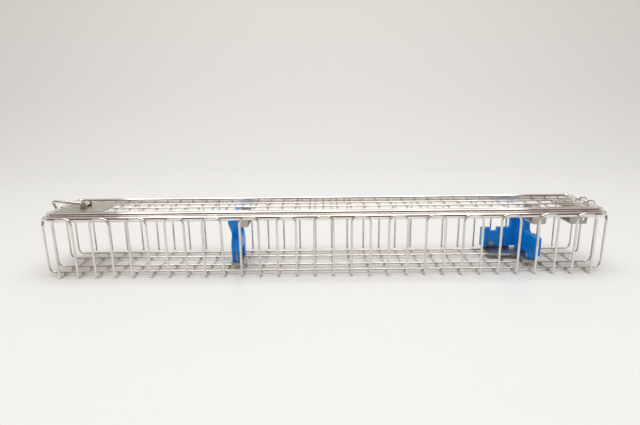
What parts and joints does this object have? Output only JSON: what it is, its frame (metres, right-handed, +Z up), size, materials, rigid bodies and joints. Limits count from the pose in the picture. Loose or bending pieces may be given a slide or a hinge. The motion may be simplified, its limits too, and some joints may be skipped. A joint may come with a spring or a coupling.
{
  "type": "wire instrument tray",
  "caption": "Long narrow stainless wire tray with a hinged wire lid, an end latch and blue silicone holders that keep one rigid telescope in place during sterilisation.",
  "frame": {"origin": "middle of the basket on the surface that the tray stands on", "axes": "+X along the tray towards the hinge end, +Y to the back, +Z up"},
  "size_m": [0.4312, 0.0628, 0.0553],
  "materials": {
    "rod_steel": "bright electropolished",
    "wire_steel": "electropolished wire",
    "sheet_steel": "satin sheet",
    "silicone": "matt moulded silicone"
  },
  "bodies": {
    "basket": {"basket_rim": "rod_steel", "hoop_01": "wire_steel", "hoop_02": "wire_steel", "hoop_03": "wire_steel", "hoop_04": "wire_steel", "hoop_05": "wire_steel", "hoop_06": "wire_steel", "hoop_07": "wire_steel", "hoop_08": "wire_steel", "hoop_09": "wire_steel", "hoop_10": "wire_steel", "hoop_11": "wire_steel", "hoop_12": "wire_steel", "hoop_13": "wire_steel", "hoop_14": "wire_steel", "hoop_15": "wire_steel", "floor_loop_front": "wire_steel", "floor_loop_back": "wire_steel", "left_holder": "silicone", "left_holder_bar": "sheet_steel", "right_holder": "silicone", "holder_bracket": "sheet_steel", "holder_rivet": "sheet_steel"},
    "lid": {"lid_rim": "rod_steel", "lid_long_wire_1": "wire_steel", "lid_long_wire_2": "wire_steel", "lid_long_wire_3": "wire_steel", "lid_cross_wires_1": "wire_steel", "lid_cross_wires_2": "wire_steel", "lid_cross_wires_3": "wire_steel", "lid_cross_wires_4": "wire_steel", "lid_cross_wires_5": "wire_steel", "lid_cross_wires_6": "wire_steel", "lid_cross_wires_7": "wire_steel", "hinge_hook_front": "wire_steel", "hinge_hook_back": "wire_steel", "hold_down_1": "sheet_steel", "hold_down_2": "sheet_steel", "hold_down_3": "sheet_steel", "latch_plate": "sheet_steel", "latch_pin": "sheet_steel"},
    "latch": {"latch_lever": "wire_steel"}
  },
  "joints": [
    {"name": "lid_hinge", "type": "hinge", "parent": "basket", "child": "lid", "pos_m": [0.2105, 0, 0.046], "axis": [0, 1, 0], "range_deg": [0, 95]},
    {"name": "latch_pivot", "type": "hinge", "parent": "lid", "child": "latch", "pos_m": [-0.19, 0, 0.0518], "axis": [0, 1, 0], "range_deg": [0, 60]}
  ]
}
